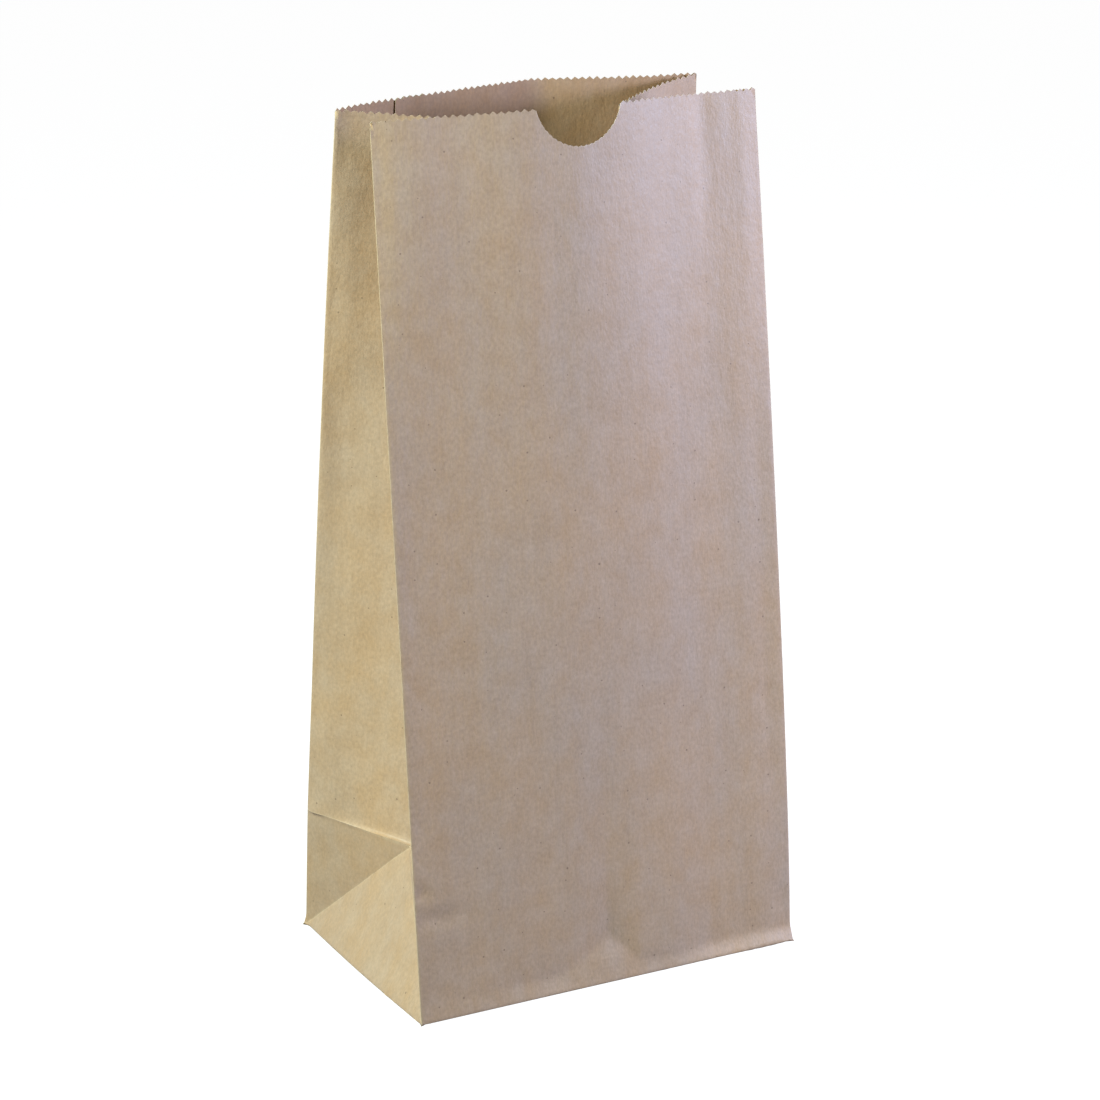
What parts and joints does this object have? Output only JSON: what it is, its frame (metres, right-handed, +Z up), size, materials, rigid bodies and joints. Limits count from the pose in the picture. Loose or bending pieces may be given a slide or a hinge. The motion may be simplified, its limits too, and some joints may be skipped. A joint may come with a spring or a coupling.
{
  "type": "paper lunch bag",
  "caption": "Plain brown kraft paper bag standing open, with folded side gussets, a flat block bottom, a saw-tooth mouth and a round thumb notch.",
  "frame": {"origin": "middle of the bottom of the bag's bounding box, on the plane that it stands on", "axes": "+Z up towards the open mouth, -Y out of the front panel that has the thumb notch, +X to the right as seen from the front"},
  "size_m": [0.1361, 0.0872, 0.274],
  "materials": {
    "kraft_paper": "uncoated machine-glazed brown kraft, matt with a faint smooth side"
  },
  "bodies": {
    "root": {"bag": "kraft_paper"}
  },
  "joints": []
}
